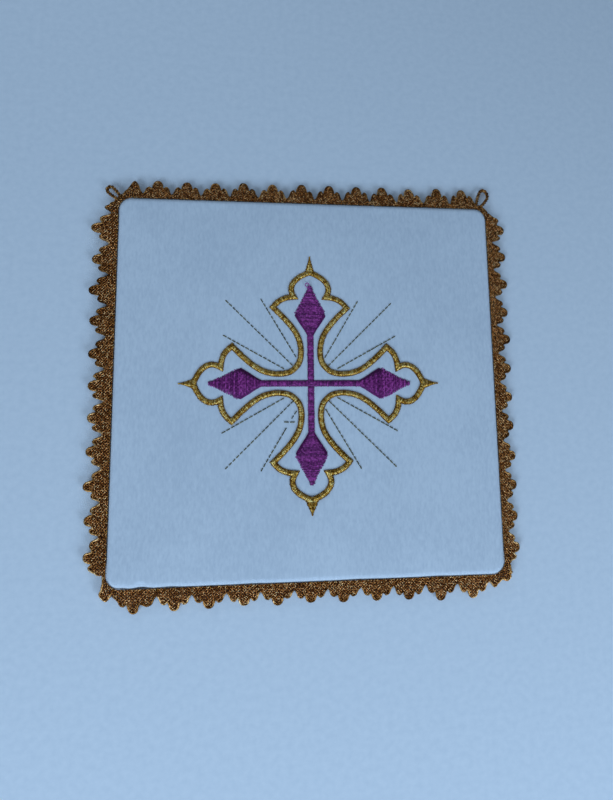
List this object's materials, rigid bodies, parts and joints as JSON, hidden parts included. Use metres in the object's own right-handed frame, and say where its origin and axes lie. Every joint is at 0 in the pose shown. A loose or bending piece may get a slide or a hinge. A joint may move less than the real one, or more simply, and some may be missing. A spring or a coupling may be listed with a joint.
{
  "type": "chalice pall",
  "caption": "Stiff square white cloth cover for a chalice, with a gold scalloped lace edging and an embroidered purple cross in a gold outline.",
  "frame": {"origin": "middle of the flat underside of the stiff square", "axes": "+Z out of the embroidered face, +Y towards the top of the cross, +X towards the right of the cross seen from above"},
  "size_m": [0.1698, 0.17, 0.0058],
  "materials": {
    "white_cloth": "plain woven white cloth, matt",
    "gold_lace": "metallic gold lace cord, glinting",
    "gold_thread": "metallic gold embroidery thread in satin stitch",
    "purple_thread": "purple embroidery thread in satin stitch, soft sheen"
  },
  "bodies": {
    "root": {"panel": "white_cloth", "lace_edging": "gold_lace", "embroidery_gold_outline": "gold_thread", "embroidery_purple_cross": "purple_thread"}
  },
  "joints": []
}
